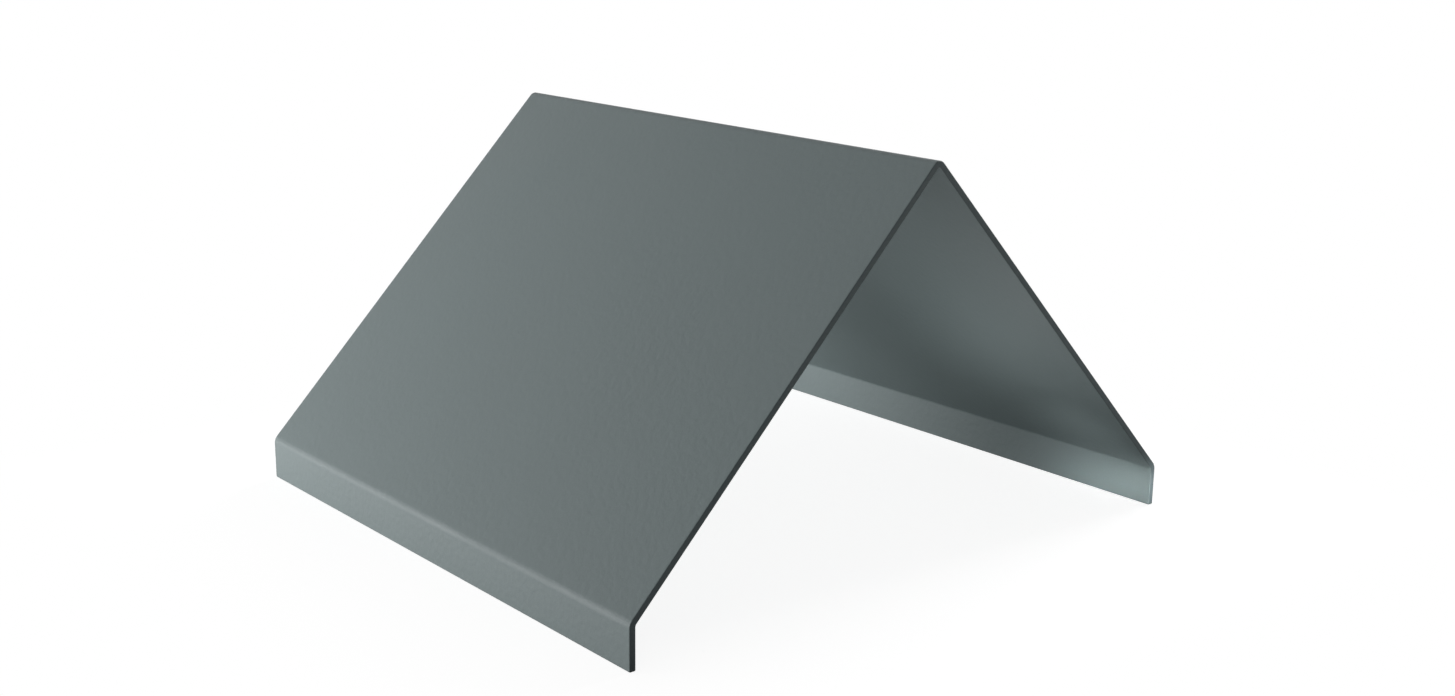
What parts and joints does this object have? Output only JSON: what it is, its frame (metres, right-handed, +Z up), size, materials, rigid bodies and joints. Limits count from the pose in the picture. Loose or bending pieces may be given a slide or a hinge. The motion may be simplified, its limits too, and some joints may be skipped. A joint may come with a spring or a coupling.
{
  "type": "corner flashing",
  "caption": "Folded sheet-metal corner flashing with a ridge bend, flat wings and short turned-down lips along their free edges.",
  "frame": {"origin": "middle of the base, on the plane that the lower edges of the lips stand on", "axes": "+Z up, +X across the ridge towards the right wing, +Y along the ridge"},
  "size_m": [0.1598, 0.15, 0.0918],
  "materials": {
    "coated_sheet": "satin grey powder coat with a slight green cast"
  },
  "bodies": {
    "root": {"folded_sheet": "coated_sheet"}
  },
  "joints": []
}
